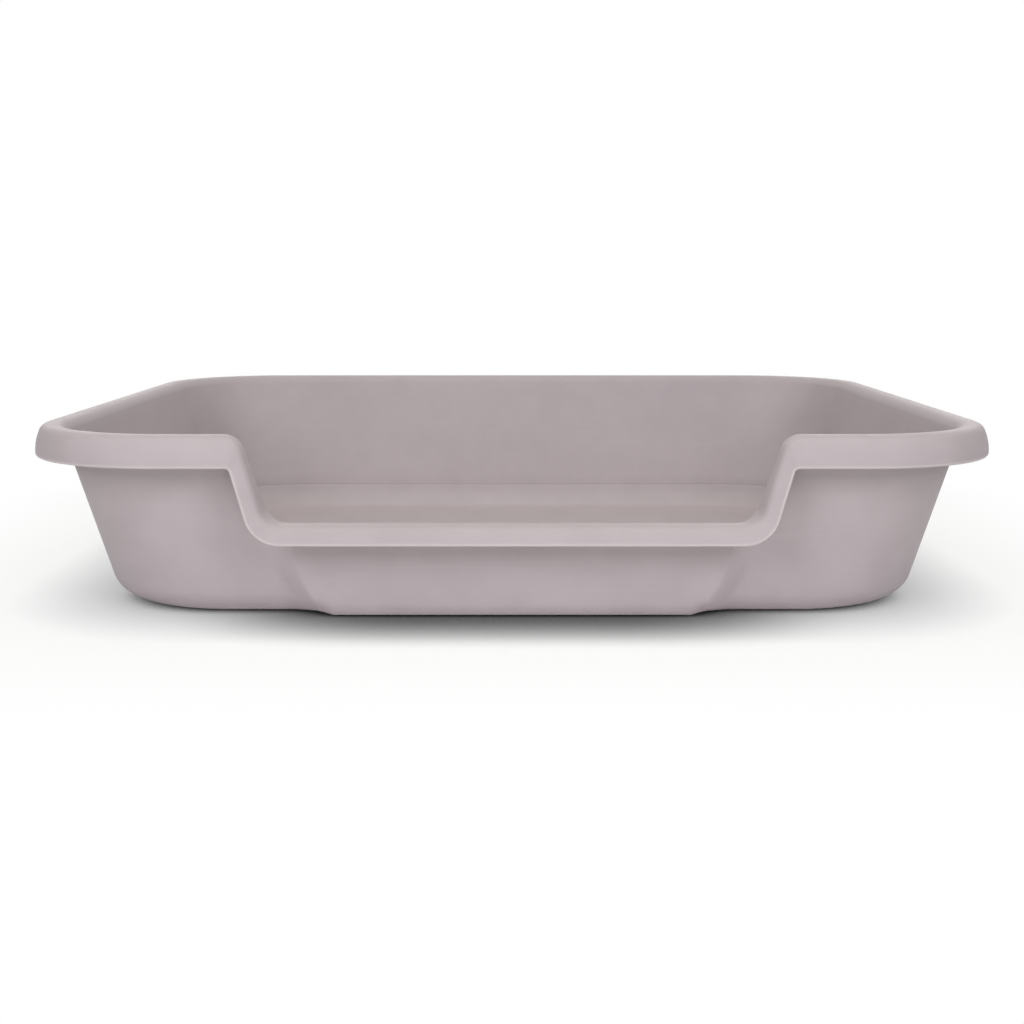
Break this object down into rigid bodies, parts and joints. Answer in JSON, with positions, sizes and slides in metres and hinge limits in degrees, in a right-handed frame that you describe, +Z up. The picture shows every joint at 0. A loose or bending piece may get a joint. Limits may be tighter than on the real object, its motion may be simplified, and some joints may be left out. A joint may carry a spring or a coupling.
{
  "type": "dog litter tray",
  "caption": "Large open litter tray for a dog, moulded in one piece, with a rolled rim turned down all round and a low entry in its long front wall.",
  "frame": {"origin": "on the floor, under the middle of the tray, at the centre of its flat underside", "axes": "+X to the right along the long side, +Y towards the back wall, +Z up; the low entry is in the front wall and faces -Y"},
  "size_m": [0.6096, 0.508, 0.1172],
  "materials": {
    "plastic": "satin, warm pinkish grey"
  },
  "bodies": {
    "root": {"tray": "plastic"}
  },
  "joints": []
}
